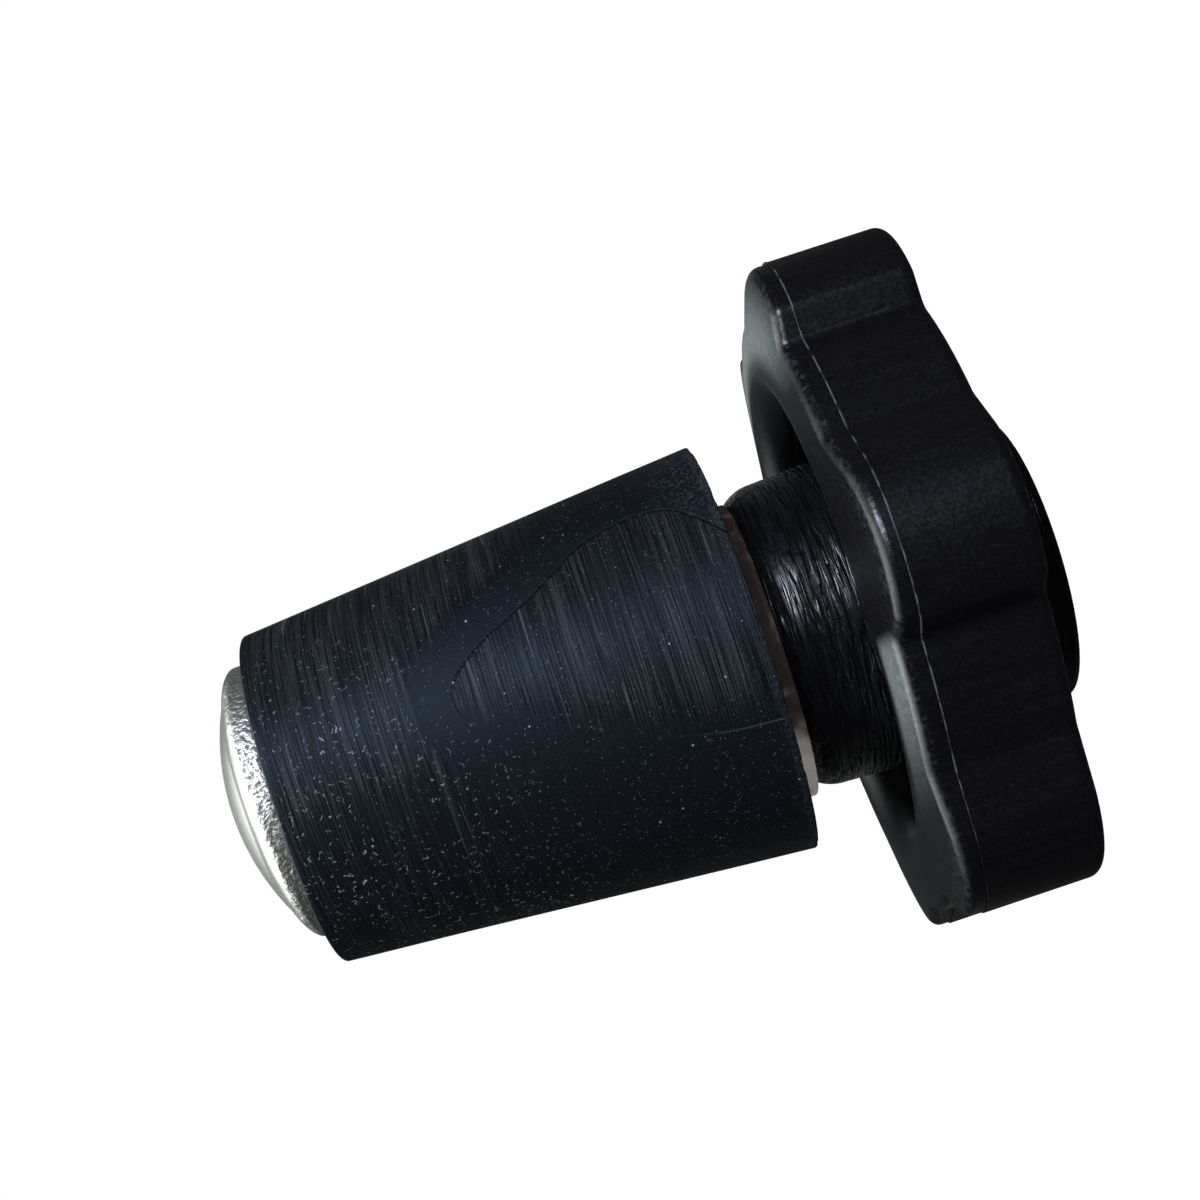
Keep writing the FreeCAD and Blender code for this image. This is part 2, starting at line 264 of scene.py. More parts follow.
def cells(tree, place, scale):
    """Distance to scattered points, in cells of 1 / scale metres."""
    return add(tree, "ShaderNodeTexVoronoi", {"Vector": place, "Scale": scale}).outputs["Distance"]


def specks(tree, spacing, radius):
    """Round specks of about a radius, one for each cell of the spacing that the surface cuts."""
    near = cells(tree, object_coords(tree), 1 / spacing)
    return ramp(tree, near, radius / spacing, 0.5 * radius / spacing)


def curled_fibres(tree, spacing, curl_r, width):
    """Short curled fibres: parts of the bent shells round scattered points, where they cut the surface."""
    place = object_coords(tree)
    bend = add(tree, "ShaderNodeTexNoise", {"Vector": place, "Scale": 1.1 / spacing, "Detail": 1.0})
    bend = add(tree, "ShaderNodeVectorMath", {0: bend.outputs["Color"], "Scale": 1.1 * spacing}, operation="SCALE")
    bent = add(tree, "ShaderNodeVectorMath", {0: place, 1: bend.outputs["Vector"]}, operation="ADD")
    near = cells(tree, bent.outputs["Vector"], 1 / spacing)
    off_ring = combine(tree, "ABSOLUTE", combine(tree, "SUBTRACT", near, curl_r / spacing), 0.0)
    ring = ramp(tree, off_ring, width / spacing, 0.3 * width / spacing)
    pieces = ramp(tree, grain(tree, place, 2.2 / spacing, 0.0), 0.62, 0.66)
    return combine(tree, "MULTIPLY", ring, pieces)


def ground_rubber(looks):
    """Neoprene ground to its taper: a soft sheen broken by fine turned lines, with dust and lint on it, and painted
    shade in the crease along the tongue's edge.
    """
    material, tree, shader = new_material("ground_neoprene")
    attribute = {name: add(tree, "ShaderNodeAttribute", attribute_name=name).outputs["Fac"]
                 for name in ("ground", "edge_distance", "edge_strength")}
    ground = attribute["ground"]
    split = add(tree, "ShaderNodeSeparateXYZ", {"Vector": object_coords(tree, (1 / (60 * MM),) * 3)})
    fine_at = object_coords(tree, (1 / (9 * MM), 1 / (9 * MM), 1 / (0.12 * MM)))
    fine = ramp(tree, grain(tree, fine_at, 1.0, 1.0), 0.36, 0.6)
    broad_at = object_coords(tree, (1 / (11 * MM), 1 / (11 * MM), 1 / (0.7 * MM)))
    broad = ramp(tree, grain(tree, broad_at, 1.0, 2.0), 0.35, 0.65)
    scratch_at = object_coords(tree, (1 / (9 * MM), 1 / (9 * MM), 1 / (0.28 * MM)))
    scratches = ramp(tree, grain(tree, scratch_at, 1.0, 0.0), 0.75, 0.8)
    grit = grain(tree, object_coords(tree), 1 / (0.12 * MM), 2.0)
    lines = combine(tree, "MULTIPLY", combine(tree, "MULTIPLY", fine, ramp(tree, broad, 0.0, 1.0, 0.35, 1.0)), ground)
    off_edge = combine(tree, "ABSOLUTE", attribute["edge_distance"], 0.0)
    crease = combine(tree, "MULTIPLY", ramp(tree, off_edge, 0.13, 0.04), attribute["edge_strength"])
    off_lip = combine(tree, "ABSOLUTE", combine(tree, "ADD", attribute["edge_distance"], 0.16), 0.0)
    lip = combine(tree, "MULTIPLY", ramp(tree, off_lip, 0.09, 0.01), attribute["edge_strength"])
    knit = ramp(tree, combine(tree, "ABSOLUTE", combine(tree, "SUBTRACT", attribute["edge_strength"], 0.5), 0.0), 0.3, 0.1)
    height = combine(tree, "ADD", combine(tree, "MULTIPLY", lines, 3.0), combine(tree, "MULTIPLY", grit, 0.8))
    worn_end = ramp(tree, split.outputs["Z"], 22.3 / 60, 21.7 / 60)
    crumbs = combine(tree, "MULTIPLY", grain(tree, object_coords(tree), 1 / (0.3 * MM), 3.0), worn_end)
    height = combine(tree, "ADD", height, combine(tree, "MULTIPLY", crumbs, 2.5))
    height = combine(tree, "ADD", height, combine(tree, "MULTIPLY", lip, 0.4))
    height = combine(tree, "SUBTRACT", height, combine(tree, "MULTIPLY", crease, 1.2))
    towards_head = combine(tree, "SUBTRACT", split.outputs["Z"], split.outputs["X"])
    patches = combine(tree, "ADD", grain(tree, object_coords(tree), 1 / (7 * MM), 2.0), towards_head)
    patches = ramp(tree, patches, 1.15, 1.55, 0.12, 1.0)
    fibres = combine(tree, "MULTIPLY", curled_fibres(tree, 0.75 * MM, 0.33 * MM, 0.028 * MM), patches)
    dust = combine(tree, "MULTIPLY", specks(tree, 0.5 * MM, 0.055 * MM), 0.42)
    dust = combine(tree, "MAXIMUM", dust, combine(tree, "MULTIPLY", specks(tree, 1.7 * MM, 0.1 * MM), 0.9))
    dust = combine(tree, "MAXIMUM", dust, combine(tree, "MULTIPLY", fibres, 0.85))
    rubbed = combine(tree, "MULTIPLY", combine(tree, "MAXIMUM", combine(tree, "MULTIPLY", lines, 0.065),
                                               combine(tree, "MULTIPLY", scratches, 0.16)), ground)
    pale = combine(tree, "MULTIPLY", lip, ramp(tree, knit, 0.0, 1.0, 0.02, 0.22))
    pale = combine(tree, "MAXIMUM", pale, ramp(tree, crumbs, 0.3, 0.7, 0.0, 0.06))
    colour = blend_colour(tree, combine(tree, "MAXIMUM", rubbed, pale), looks.rubber, looks.dust)
    # Painted shade: the crease along the tongue's edge is darkened towards near black, on top of its dent in the bump.
    colour = blend_colour(tree, combine(tree, "MULTIPLY", crease, 0.95), colour, linear("#050608"))
    corner = combine(tree, "MULTIPLY", ramp(tree, split.outputs["Z"], 27 / 60, 22 / 60),
                     ramp(tree, split.outputs["X"], 5 / 60, 12 / 60))
    smeared = ramp(tree, grain(tree, object_coords(tree), 1 / (0.25 * MM), 3.0), 0.45, 0.7, 0.0, 0.1)
    dust = combine(tree, "MAXIMUM", dust, combine(tree, "MULTIPLY", corner, smeared))
    dust = combine(tree, "MAXIMUM", dust, ramp(tree, grit, 0.58, 0.85, 0.0, 0.08))
    colour = blend_colour(tree, dust, colour, looks.dust)
    feed(tree, shader, Base_Color=colour, Roughness=ramp(tree, ground, 0.0, 0.8, 0.6, 0.44),
         Specular_IOR_Level=ramp(tree, ground, 0.0, 0.8, 0.28, 0.19), Normal=bumps(tree, height, 0.025 * MM))
    shader.inputs["IOR"].default_value = 1.5
    shader.inputs["Specular Tint"].default_value = linear("#C4DDF7")
    return material


def tumbled_steel(looks):
    """Nickel-plated forged steel: a smooth dome inside a rim that tumbling left pitted and darker in its pits, with
    painted shade at the bottom of the head where it sits on the rubber.
    """
    material, tree, shader = new_material("tumbled_nickel_steel")
    rim = add(tree, "ShaderNodeAttribute", attribute_name="rim").outputs["Fac"]
    pitted = grain(tree, object_coords(tree), 1 / (0.3 * MM), 3.0)
    pits = combine(tree, "MULTIPLY", ramp(tree, pitted, 0.52, 0.4), rim)
    haze = grain(tree, object_coords(tree), 1 / (0.05 * MM), 2.0)
    colour = blend_colour(tree, combine(tree, "MULTIPLY", pits, 0.8), looks.metal, looks.pits)
    split = add(tree, "ShaderNodeSeparateXYZ", {"Vector": object_coords(tree)})
    # Painted shade: the lowest half millimetre of the head, where it meets the rubber, is darkened towards near black.
    shade_under_head = ramp(tree, split.outputs["Z"], BUNG_HIGH.z + 0.5 * MM, BUNG_HIGH.z + 0.2 * MM, 0.0, 0.85)
    colour = blend_colour(tree, shade_under_head, colour, linear("#17130F"))
    roughness = combine(tree, "ADD", ramp(tree, haze, 0.3, 0.7, 0.26, 0.32), combine(tree, "MULTIPLY", rim, 0.14))
    height = combine(tree, "MULTIPLY", pitted, rim)
    metallic = ramp(tree, pits, 0.0, 1.0, 1.0, 0.6)
    feed(tree, shader, Base_Color=colour, Roughness=roughness, Metallic=metallic,
         Normal=bumps(tree, height, 0.14 * MM))
    return material


def plain_steel(name, clean, dull_and_shaded, polish, shine):
    """Zinc-plated steel, cloudy where handling dulled it, with painted shade that darkens its upper side and painted
    light that leaves its lower side bright.
    """
    material, tree, shader = new_material(name)
    place = object_coords(tree)
    split = add(tree, "ShaderNodeSeparateXYZ", {"Vector": place})
    # Partly real, partly painted: the noise is dulling from handling; the ramp along X is painted shade on the upper
    # side and painted light below.
    dulling_and_shade = combine(tree, "ADD", grain(tree, place, 1 / (2.5 * MM), 3.0),
                    ramp(tree, split.outputs["X"], -11 * MM, -6 * MM, -0.35, 0.4))
    dulling_and_shade = ramp(tree, dulling_and_shade, 0.3, 0.9)
    brushed = grain(tree, object_coords(tree, (1 / (2 * MM), 1 / (2 * MM), 1 / (0.06 * MM))), 1.0, 2.0)
    colour = blend_colour(tree, dulling_and_shade, linear(clean), linear(dull_and_shaded))
    roughness = ramp(tree, dulling_and_shade, 0.0, 1.0, polish, polish + 0.15)
    feed(tree, shader, Base_Color=colour, Roughness=roughness, Normal=bumps(tree, brushed, 0.01 * MM))
    shader.inputs["Metallic"].default_value = shine
    return material


def moulded_plastic(looks):
    """Glass-filled nylon from a worn mould: near black, half gloss, ridged round the hub and scuffed on edges, with
    painted highlights on the rim's edges, a painted reflection on the hub's ridges and a painted reflection on the
    rim's front face.
    """
    material, tree, shader = new_material("moulded_nylon")
    place = object_coords(tree)
    split = add(tree, "ShaderNodeSeparateXYZ", {"Vector": place})
    x, y, z = (split.outputs[axis] for axis in "XYZ")
    squared = combine(tree, "ADD", combine(tree, "MULTIPLY", x, x), combine(tree, "MULTIPLY", y, y))
    radius = combine(tree, "SQRT", squared, 0.0)
    on_hub = ramp(tree, radius, 12.9 * MM, 12.3 * MM)
    on_rim = ramp(tree, radius, 21.2 * MM, 21.8 * MM)
    ridges_at = object_coords(tree, (1 / (3.3 * MM), 1 / (3.3 * MM), 1 / (0.33 * MM)))
    ridges = add(tree, "ShaderNodeTexNoise", {
        "Vector": ridges_at, "Scale": 1.0, "Detail": 1.0, "Distortion": 0.35}).outputs["Fac"]
    ridges = ramp(tree, ridges, 0.36, 0.6)
    crinkled = ramp(tree, grain(tree, place, 1 / (4 * MM), 2.0), 0.35, 0.6, 0.25, 1.0)
    hub_height = combine(tree, "MULTIPLY", combine(tree, "MULTIPLY", ridges, crinkled), on_hub)
    streaks_at = object_coords(tree, (1 / (0.5 * MM), 1 / (0.5 * MM), 1 / (5 * MM)))
    streaks = combine(tree, "MULTIPLY", grain(tree, streaks_at, 1.0, 3.0), on_rim)
    skin = grain(tree, place, 1 / (0.25 * MM), 3.0)
    fine_skin = combine(tree, "MULTIPLY", skin, ramp(tree, on_hub, 0.0, 1.0, 0.3, 0.08))
    height = combine(tree, "ADD", combine(tree, "MULTIPLY", hub_height, 4.0), fine_skin)
    height = combine(tree, "ADD", height, combine(tree, "MULTIPLY", streaks, 0.7))
    # Partly rubbing wear, partly painted highlight: thin bands at the rim's front and back edges are paled where the
    # edge roundings catch light.
    front_edge = combine(tree, "MULTIPLY", ramp(tree, z, 13.7 * MM, 14.0 * MM), ramp(tree, z, 14.5 * MM, 14.2 * MM))
    worn = ramp(tree, grain(tree, place, 1 / (0.5 * MM), 4.0), 0.46, 0.66)
    back_edge = combine(tree, "MULTIPLY", ramp(tree, z, 4.46 * MM, 4.52 * MM), ramp(tree, z, 4.68 * MM, 4.6 * MM))
    edges = combine(tree, "MAXIMUM", front_edge, back_edge)
    scuffs_and_highlights = combine(tree, "MULTIPLY", combine(tree, "MULTIPLY", edges, on_rim), worn)
    # Painted reflection: pale grey-green patches on the rim's front face, at the top lobe and on the near side, stand
    # for the backdrop mirrored at a grazing angle.
    painted_reflection = combine(tree, "MULTIPLY", ramp(tree, x, 13 * MM, 20 * MM), ramp(tree, radius, 18.5 * MM, 20.5 * MM))
    near_side = combine(tree, "MULTIPLY", ramp(tree, x, -3.2 * MM, -4.6 * MM), ramp(tree, x, -16 * MM, -5 * MM))
    near_side = combine(tree, "MULTIPLY", near_side, ramp(tree, radius, 22.7 * MM, 22.1 * MM))
    near_side = combine(tree, "MULTIPLY", near_side, ramp(tree, radius, 18.5 * MM, 19.5 * MM))
    near_side = combine(tree, "MULTIPLY", near_side, ramp(tree, y, -5 * MM, -8 * MM))
    painted_reflection = combine(tree, "MAXIMUM", painted_reflection, near_side)
    painted_reflection = combine(tree, "MULTIPLY", painted_reflection, ramp(tree, z, 14.1 * MM, 14.8 * MM))
    painted_reflection = combine(tree, "MULTIPLY", painted_reflection, ramp(tree, worn, 0.0, 1.0, 0.75, 1.0))
    mottled = ramp(tree, combine(tree, "MULTIPLY", skin, streaks), 0.22, 0.42)
    scuffs_and_highlights = combine(tree, "MAXIMUM", scuffs_and_highlights, combine(tree, "MULTIPLY", mottled, 0.12))
    # Painted reflection: the hub's ridges are paled to stand for light mirrored from below.
    scuffs_and_highlights = combine(tree, "MAXIMUM", scuffs_and_highlights, combine(tree, "MULTIPLY", hub_height, 0.22))
    # The scuff colour laid here is partly real wear and mottling, partly painted highlight on the edges and painted
    # reflection on the hub.
    colour = blend_colour(tree, combine(tree, "MULTIPLY", scuffs_and_highlights, 0.1), looks.plastic, looks.scuff_and_highlight)
    # Painted reflection: the front-face patches are coloured the grey-green of the mirrored backdrop.
    colour = blend_colour(tree, combine(tree, "MULTIPLY", painted_reflection, 0.95), colour, linear("#929A97"))
    roughness = combine(tree, "ADD", ramp(tree, skin, 0.3, 0.7, 0.27, 0.37), combine(tree, "MULTIPLY", scuffs_and_highlights, 0.05))
    roughness = combine(tree, "SUBTRACT", roughness, combine(tree, "MULTIPLY", on_hub, 0.06))
    feed(tree, shader, Base_Color=colour, Roughness=roughness, Normal=bumps(tree, height, 0.03 * MM),
         Specular_IOR_Level=ramp(tree, x, -20 * MM, -11 * MM, 0.3, 0.5))
    shader.inputs["IOR"].default_value = 1.52
    return material


def rubbed_flash(looks):
    """The knob's nylon where the parting line stands proud and has been rubbed paler."""
    material, tree, shader = new_material("rubbed_nylon_flash")
    worn = ramp(tree, grain(tree, object_coords(tree), 1 / (1.2 * MM), 3.0), 0.42, 0.6)
    colour = blend_colour(tree, combine(tree, "MULTIPLY", worn, 0.4), looks.plastic, looks.scuff_and_highlight)
    feed(tree, shader, Base_Color=colour, Roughness=ramp(tree, worn, 0.0, 1.0, 0.35, 0.55))
    return material


def shade(piece, material):
    """Gives the piece its one material."""
    piece.data.materials.clear()
    piece.data.materials.append(material)


def dress_node(node, material):
    """Gives a CAD node that stays its material."""
    for material_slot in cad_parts[node].material_slots:
        material_slot.material = material


def finished_piece(name, mesh, body, slot, *nodes):
    """Makes a smooth piece of a bmesh, rides it on its body and lets it stand for its CAD nodes."""
    data = bpy.data.meshes.new(name)
    mesh.to_mesh(data)
    mesh.free()
    data.shade_smooth()
    piece = bpy.data.objects.new(name, data)
    bpy.context.scene.collection.objects.link(piece)
    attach(piece, body)
    if nodes:
        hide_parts(*nodes)
    return piece


def spun(outline, steps):
    """A closed solid of revolution about Z of an outline of radii and heights."""
    mesh = bmesh.new()
    corners = [mesh.verts.new((radius, 0, height)) for radius, height in outline]
    edges = [mesh.edges.new(pair) for pair in zip(corners, corners[1:])]
    bmesh.ops.spin(mesh, geom=corners + edges, cent=(0, 0, 0), axis=(0, 0, 1),
                   angle=math.tau, steps=steps, use_merge=True, use_duplicate=False)
    bmesh.ops.remove_doubles(mesh, verts=mesh.verts[:], dist=0.001 * MM)
    bmesh.ops.recalc_face_normals(mesh, faces=mesh.faces[:])
    return mesh


def divided(start, end, parts):
    """Points from start up to, but not at, the end of a straight stretch of an outline."""
    return [tuple(a + (b - a) * step / parts for a, b in zip(start, end)) for step in range(parts)]


def quarter(centre, radius, first_angle, last_angle, parts):
    """Points round part of a circle of an outline, its end left out."""
    turns = [math.radians(first_angle + (last_angle - first_angle) * step / parts) for step in range(parts)]
    return [(centre[0] + radius * math.cos(t), centre[1] + radius * math.sin(t)) for t in turns]


def step_up(value, low, high):
    """A smooth step from 0 at low to 1 at high, which may lie below low."""
    share = min(1.0, max(0.0, (value - low) / (high - low)))
    return share * share * (3 - 2 * share)


def smoothed(points, rounds=2):
    """A line through points with its corners cut, its ends kept."""
    for _ in range(rounds):
        cut = [points[0]]
        for start, end in zip(points, points[1:]):
            cut += [tuple(a + (b - a) * share for a, b in zip(start, end)) for share in (0.25, 0.75)]
        points = cut + [points[-1]]
    return points


def flow_pattern(radius):
    """The closed outline of the rubber's tongue, unrolled in mm, and how plainly each side of it shows."""
    tongue, knit = smoothed(TONGUE_EDGE), smoothed(KNIT_LINE)
    corners = [Vector((math.radians(angle) * radius / MM, height)) for angle, height in tongue + knit]
    corners.append(Vector((corners[-1].x, corners[0].y)))
    fading = [0.5 * (side + 1) / (len(knit) - 1) for side in range(len(knit) - 1)]
    plain = [1.0] * (len(tongue) - 1) + [0.0] + fading + [0.0, 0.0]
    return [(start, end, strength) for start, end, strength in zip(corners, corners[1:] + corners[:1], plain)]


def off_pattern(pattern, place):
    """How far in mm a place lies inside the pattern (negative outside), how plainly its nearest side shows,
    and how far off the faint sides are."""
    if abs(place.y - 31) > 18:
        return -9.0, 0.0, 9.0
    nearest, nearest_strength, faint, inside = 1e9, 0.0, 1e9, False
    for start, end, strength in pattern:
        along = end - start
        share = min(1.0, max(0.0, (place - start).dot(along) / along.length_squared))
        distance = (start + along * share - place).length
        if distance < nearest:
            nearest, nearest_strength = distance, strength
        if strength < 1 and end.y > 21.5:
            faint = min(faint, distance)
        if (start.y > place.y) != (end.y > place.y):
            crossing = start.x + (place.y - start.y) * (end.x - start.x) / (end.y - start.y)
            inside = inside != (place.x < crossing)
    return (nearest if inside else -nearest), nearest_strength, faint


def mark_rubber(mesh, mean_radius):
    """Stores at the corners where the rubber is ground, and how far off its flow lines run, as attributes."""
    ground_layer = mesh.verts.layers.float.new("ground")
    distance_layer = mesh.verts.layers.float.new("edge_distance")
    strength_layer = mesh.verts.layers.float.new("edge_strength")
    pattern = flow_pattern(mean_radius)
    for vert in mesh.verts:
        turn = math.atan2(vert.co.y, vert.co.x)
        if turn > math.radians(60):
            turn -= math.tau
        distance, strength, faint = off_pattern(pattern, Vector((turn * mean_radius / MM, vert.co.z / MM)))
        smooth_below = step_up(-turn, math.radians(95), math.radians(106))
        smooth_below *= 0.65 + 0.35 * step_up(vert.co.z, 44 * MM, 38 * MM)
        smooth_below *= step_up(-turn, math.radians(190), math.radians(170))
        smooth_above = step_up(turn, math.radians(-62), math.radians(-50)) * step_up(turn, math.radians(10), 0)
        smooth_above *= step_up(vert.co.z, 38 * MM, 30 * MM)
        vert[distance_layer] = distance
        vert[strength_layer] = strength
        if distance < 0:
            vert[ground_layer] = step_up(-distance, 2.2, 4.5) * (1 - smooth_below) * (1 - smooth_above)
        else:
            vert[ground_layer] = 0.15 + 0.85 * step_up(faint, 0.0, 3.0)


class DRAINPLUG_OT_bung(bpy.types.Operator):
    """Makes the tapered rubber bung, with its ground wall, flow lines and worn wide edge"""
    bl_idname = "drainplug.bung"
    bl_label = "Rubber bung"

    def execute(self, context):
        looks = context.scene.drain_plug.bung
        low, high = BUNG_LOW.z, BUNG_HIGH.z
        wide_r, narrow_r = BUNG_HIGH.x, looks.narrow_d / 2
        bore_r, room_r = looks.bore_d / 2, looks.neck_room_d / 2
        room_floor = high - looks.neck_room_depth
        ease = looks.edge_r
        wall_rows = 130
        outline = divided((bore_r, low), (wide_r - ease, low), 6)
        outline += quarter((wide_r - ease, low + ease), ease, -90, 0, 4)
        outline += divided((wide_r, low + ease), (narrow_r, high - ease), wall_rows)
        outline += quarter((narrow_r - ease, high - ease), ease, 0, 90, 4)
        outline += divided((narrow_r - ease, high), (room_r, high), 4)
        outline += [(room_r, high), (room_r, room_floor), (bore_r, room_floor), (bore_r, low)]
        mesh = spun(outline, 360)
        mark_rubber(mesh, (wide_r + narrow_r) / 2)
        for vert in mesh.verts:
            radius = math.hypot(vert.co.x, vert.co.y)
            if vert.co.z < low + 2 * ease and radius > wide_r - 2 * ease:
                wear = noise.noise(vert.co / (1.3 * MM)) + 0.4 * noise.noise(vert.co / (0.5 * MM))
                vert.co += vert.normal * looks.edge_wear * min(0.0, wear)
            past_washer = step_up(radius, WASHER_REACH + 0.15 * MM, WASHER_REACH + 0.9 * MM)
            vert.co.z -= looks.end_lip * past_washer * step_up(vert.co.z, low + 6 * MM, low)
            lean = 0.5 - 0.5 * vert.co.x / radius
            outside_head = step_up(radius, BOLT_HIGH.x + 0.1 * MM, BOLT_HIGH.x + 0.9 * MM)
            vert.co.z += looks.end_lift * lean ** 3 * outside_head * step_up(vert.co.z, high - 9 * MM, high)
        piece = finished_piece("ground_bung", mesh, "plug", "bung_rubber", "rubber_bung")
        shade(piece, ground_rubber(looks))
        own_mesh(piece)
        return {"FINISHED"}


class DRAINPLUG_OT_bolt(bpy.types.Operator):
    """Makes the carriage bolt, with its domed head, pitted rim, square neck and shank"""
    bl_idname = "drainplug.bolt"
    bl_label = "Carriage bolt"

    def execute(self, context):
        looks = context.scene.drain_plug.bolt
        base, top, end = BUNG_HIGH.z, BOLT_HIGH.z, BOLT_LOW.z
        edge_r = BOLT_HIGH.x - looks.head_offset - 0.01 * MM
        shoulder_r = edge_r - looks.shoulder_inset
        shoulder_z = base + looks.shoulder_height
        rise = top - shoulder_z
        dome_r = (shoulder_r ** 2 + rise ** 2) / (2 * rise)
        dome_angle = math.degrees(math.asin(shoulder_r / dome_r))
        shank_r = looks.shank_d / 2
        outline = quarter((0, top - dome_r), dome_r, 90, 90 - dome_angle, 40)
        side_top = (edge_r, base + looks.edge_height)
        over = self.round_over((shoulder_r, shoulder_z), side_top, looks, dome_angle)
        outline += over
        outline += divided(side_top, (edge_r, base + looks.under_r), 6)
        outline += quarter((edge_r - looks.under_r, base + looks.under_r), looks.under_r, 0, -90, 5)
        outline += [(edge_r - looks.under_r, base), (shank_r, base), (shank_r, end + 1 * MM), (shank_r - 1 * MM, end),
                    (0, end)]
        mesh = spun(outline, 360)
        rim_layer = mesh.verts.layers.float.new("rim")
        for vert in mesh.verts:
            wavy = 0.35 * MM * noise.noise(vert.co / (1.1 * MM))
            rim = step_up(vert.co.z + wavy, base + 2.3 * MM, base + 1.4 * MM) if vert.co.z > base else 0.0
            vert[rim_layer] = rim
            pits = noise.fractal(vert.co / (0.42 * MM), 0.9, 2.0, 3)
            vert.co += vert.normal * looks.pitting * rim * min(0.25, pits)
            if vert.co.z > base:
                vert.co.x += looks.head_offset
        neck = bmesh.ops.create_cube(mesh, size=1)["verts"]
        bmesh.ops.scale(mesh, vec=(looks.neck_width, looks.neck_width, looks.neck_length), verts=neck)
        bmesh.ops.translate(mesh, vec=(0, 0, base - looks.neck_length / 2), verts=neck)
        piece = finished_piece("domed_bolt", mesh, "plug", "bolt_steel", "carriage_bolt")
        shade(piece, tumbled_steel(looks))
        return {"FINISHED"}

    def round_over(self, shoulder, side_top, looks, dome_angle):
        """The curve from the dome's edge down to the head's upright side."""
        parts = 12
        out_run = side_top[0] - shoulder[0]
        corner = (side_top[0], shoulder[1] - out_run * math.tan(math.radians(dome_angle)) * 0.6)
        points = []
        for step in range(parts):
            share = step / parts
            keep = (1 - share) ** 2
            middle = 2 * share * (1 - share)
            last = share ** 2
            points.append(tuple(keep * a + middle * b + last * c for a, b, c in zip(shoulder, corner, side_top)))
        return points


class DRAINPLUG_OT_washer(bpy.types.Operator):
    """Finishes the plain washer"""
    bl_idname = "drainplug.washer"
    bl_label = "Pressure washer"

    def execute(self, context):
        dress_node("pressure_washer", plain_steel("dulled_and_shaded_zinc_steel", "#FFF8EC", "#4A3A32", 0.4, 0.1))
        return {"FINISHED"}


class DRAINPLUG_OT_knob(bpy.types.Operator):
    """Finishes the hand knob and its moulded-in nut, and adds the raised parting line"""
    bl_idname = "drainplug.knob"
    bl_label = "Hand knob"

    def execute(self, context):
        looks = context.scene.drain_plug.knob
        dress_node("hand_knob", moulded_plastic(looks))
        dress_node("knob_nut", plain_steel("bright_zinc_steel", "#BFC0BE", "#96928A", 0.3, 1.0))
        self.parting_flash(looks)
        return {"FINISHED"}

    def parting_flash(self, looks):
        """A thin bead along the section of the knob at its parting line."""
        mesh = bmesh.new()
        mesh.from_mesh(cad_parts["hand_knob"].data)
        bmesh.ops.remove_doubles(mesh, verts=mesh.verts[:], dist=0.002 * MM)
        geometry = mesh.verts[:] + mesh.edges[:] + mesh.faces[:]
        bmesh.ops.bisect_plane(mesh, geom=geometry, dist=0.0005 * MM, plane_co=(0, 0, looks.parting_height - 0.05 * MM),
                               plane_no=(0, 0, 1), clear_outer=True, clear_inner=True)
        inner = [vert for vert in mesh.verts if math.hypot(vert.co.x, vert.co.y) < 20 * MM]
        bmesh.ops.delete(mesh, geom=inner, context="VERTS")
        data = bpy.data.meshes.new("parting_section")
        mesh.to_mesh(data)
        mesh.free()
        section = bpy.data.objects.new("parting_section", data)
        bpy.context.scene.collection.objects.link(section)
        with bpy.context.temp_override(active_object=section, object=section, selected_objects=[section],
                                       selected_editable_objects=[section]):
            section.select_set(True)
            bpy.context.view_layer.objects.active = section
            bpy.ops.object.convert(target="CURVE")
            section.data.bevel_depth = looks.flash_width / 2
            section.data.bevel_resolution = 2
            bpy.ops.object.convert(target="MESH")
        bead = bmesh.new()
        bead.from_mesh(section.data)
        bmesh.ops.recalc_face_normals(bead, faces=bead.faces[:])
        bead.normal_update()
        for vert in bead.verts:
            vert.co -= vert.normal * looks.flash_width / 2 * 0.9 * step_up(vert.co.x, -15.5 * MM, -18 * MM)
        bpy.data.objects.remove(section)
        piece = finished_piece("knob_parting_flash", bead, "knob", "knob_plastic")
        shade(piece, rubbed_flash(looks))


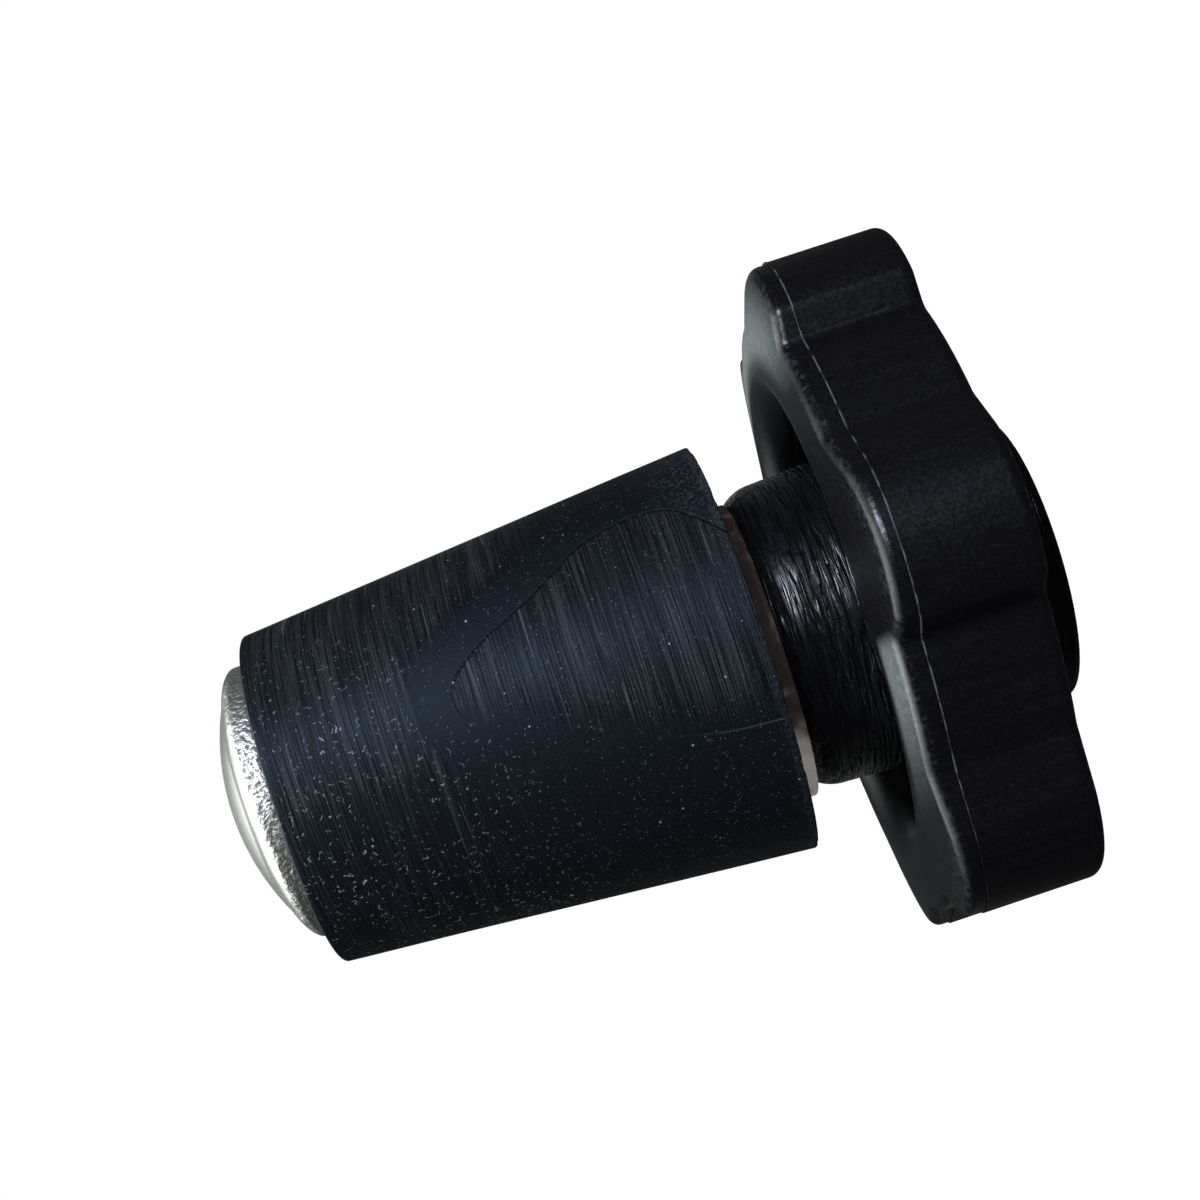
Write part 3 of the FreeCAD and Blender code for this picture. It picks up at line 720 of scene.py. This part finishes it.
class DRAINPLUG_OT_stage(bpy.types.Operator):
    """Sets up the pale floor, the soft lamps, the white surroundings and the camera"""
    bl_idname = "drainplug.stage"
    bl_label = "Studio"

    def execute(self, context):
        looks = context.scene.drain_plug.studio
        self.camera(context, looks)
        self.floor(context, looks)
        middle = Vector((0, 0, 32 * MM))
        head = Vector((0, 0, 58 * MM))
        window = (150 * MM, -300 * MM, 140 * MM)
        self.lamp(context, "window", looks.window_power, window, (120 * MM, 100 * MM), "#E3EDFF", middle)
        self.lamp(context, "top", looks.top_power, (0, 0, 260 * MM), (200 * MM, 300 * MM), "#FFFFFF", head)
        self.surroundings(context, looks)
        context.scene.view_settings.view_transform = "Standard"
        return {"FINISHED"}

    def camera(self, context, looks):
        """A camera with its lens, framing and place."""
        data = bpy.data.cameras.new("camera")
        data.sensor_width = 36
        data.lens = looks.lens
        data.shift_x, data.shift_y = looks.shift
        data.clip_start = 1 * MM
        eye = bpy.data.objects.new("camera", data)
        eye.location = looks.place
        eye.rotation_euler = Euler(looks.turn)
        context.scene.collection.objects.link(eye)
        context.scene.camera = eye

    def floor(self, context, looks):
        """A large pale floor, white to the camera, that keeps part of the shadow."""
        mesh = bmesh.new()
        bmesh.ops.create_grid(mesh, x_segments=1, y_segments=1, size=4)
        data = bpy.data.meshes.new("floor")
        mesh.to_mesh(data)
        mesh.free()
        floor = bpy.data.objects.new("floor", data)
        context.scene.collection.objects.link(floor)
        material = bpy.data.materials.new("white_paper_floor")
        material.use_nodes = True
        tree = material.node_tree
        tree.nodes.clear()
        path = add(tree, "ShaderNodeLightPath").outputs
        seen = combine(tree, "MAXIMUM", path["Is Camera Ray"], path["Is Transmission Ray"])
        split = add(tree, "ShaderNodeSeparateXYZ", {"Vector": object_coords(tree)})
        mirrored = ramp(tree, split.outputs["Y"], -60 * MM, 240 * MM, looks.dim, looks.shine)
        mirrored = combine(tree, "MULTIPLY", mirrored, path["Is Glossy Ray"])
        strength = combine(tree, "ADD", combine(tree, "MULTIPLY", seen, 1.07), mirrored)
        glow = add(tree, "ShaderNodeEmission", {"Color": linear("#FFFFFF"), "Strength": strength})
        paper = add(tree, "ShaderNodeBsdfDiffuse", {"Color": linear("#F2F2F2")})
        share = combine(tree, "ADD", combine(tree, "MULTIPLY", seen, 0.95), path["Is Glossy Ray"])
        mixed = add(tree, "ShaderNodeMixShader", {"Fac": share, 1: paper.outputs["BSDF"], 2: glow.outputs["Emission"]})
        add(tree, "ShaderNodeOutputMaterial", {"Surface": mixed.outputs["Shader"]})
        shade(floor, material)

    def lamp(self, context, name, power, place, size, colour, target):
        """A soft lamp that looks at its target."""
        data = bpy.data.lights.new(name, "AREA")
        data.shape = "RECTANGLE"
        data.size, data.size_y = size
        data.energy = power
        data.color = linear(colour)[:3]
        light = bpy.data.objects.new(name, data)
        light.location = place
        light.rotation_euler = (target - Vector(place)).to_track_quat("-Z", "Y").to_euler()
        light.visible_camera = False
        context.scene.collection.objects.link(light)

    def surroundings(self, context, looks):
        """White where it is seen, an even fill, and for shiny surfaces a pale backdrop in a dim room."""
        world = bpy.data.worlds.new("white_room")
        world.use_nodes = True
        tree = world.node_tree
        tree.nodes.clear()
        path = add(tree, "ShaderNodeLightPath").outputs
        seen = combine(tree, "MAXIMUM", path["Is Camera Ray"], path["Is Transmission Ray"])
        direction = add(tree, "ShaderNodeTexCoord").outputs["Generated"]
        split = add(tree, "ShaderNodeSeparateXYZ", {"Vector": direction})
        upward = combine(tree, "MULTIPLY", ramp(tree, split.outputs["X"], 0.1, 0.28),
                         ramp(tree, split.outputs["X"], 0.6, 0.35))
        upward = combine(tree, "MULTIPLY", upward, ramp(tree, split.outputs["Z"], 0.22, 0.08))
        upward = ramp(tree, upward, 0.0, 1.0, 0.3, 2.8)
        mirrored = combine(tree, "MULTIPLY", ramp(tree, split.outputs["Y"], 0.2, 0.8, looks.dim, looks.shine), upward)
        mirrored = combine(tree, "MAXIMUM", mirrored, ramp(tree, split.outputs["Z"], 0.55, 0.85, 0.0, looks.over))
        strength = combine(tree, "ADD", seen, combine(tree, "MULTIPLY", mirrored, path["Is Glossy Ray"]))
        strength = combine(tree, "ADD", strength, combine(tree, "MULTIPLY", path["Is Diffuse Ray"], looks.fill))
        tint = blend_colour(tree, path["Is Glossy Ray"], linear("#FFFFFF"), linear("#E2F0EE"))
        glow = add(tree, "ShaderNodeBackground", {"Color": tint, "Strength": strength})
        add(tree, "ShaderNodeOutputWorld", {"Surface": glow.outputs["Background"]})
        context.scene.world = world


STEPS = (DRAINPLUG_OT_stage, DRAINPLUG_OT_bung, DRAINPLUG_OT_bolt, DRAINPLUG_OT_washer, DRAINPLUG_OT_knob)


class DRAINPLUG_PT_sidebar(bpy.types.Panel):
    """Lists the steps that dress the drain plug"""
    bl_idname = "DRAINPLUG_PT_sidebar"
    bl_label = "Drain plug"
    bl_space_type = "VIEW_3D"
    bl_region_type = "UI"
    bl_category = "Drain plug"

    def draw(self, context):
        for step in STEPS:
            self.layout.operator(step.bl_idname)


CLASSES = (BungLooks, BoltLooks, KnobLooks, StudioLooks, DrainPlugLooks) + STEPS + (DRAINPLUG_PT_sidebar,)


def register():
    for item in CLASSES:
        bpy.utils.register_class(item)
    bpy.types.Scene.drain_plug = bpy.props.PointerProperty(type=DrainPlugLooks)


def unregister():
    del bpy.types.Scene.drain_plug
    for item in reversed(CLASSES):
        bpy.utils.unregister_class(item)


def main():
    """Registers the add-on and runs its steps in order."""
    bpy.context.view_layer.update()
    register()
    bpy.ops.drainplug.stage()
    bpy.ops.drainplug.bung()
    bpy.ops.drainplug.bolt()
    bpy.ops.drainplug.washer()
    bpy.ops.drainplug.knob()


if __name__ == "__main__":
    main()
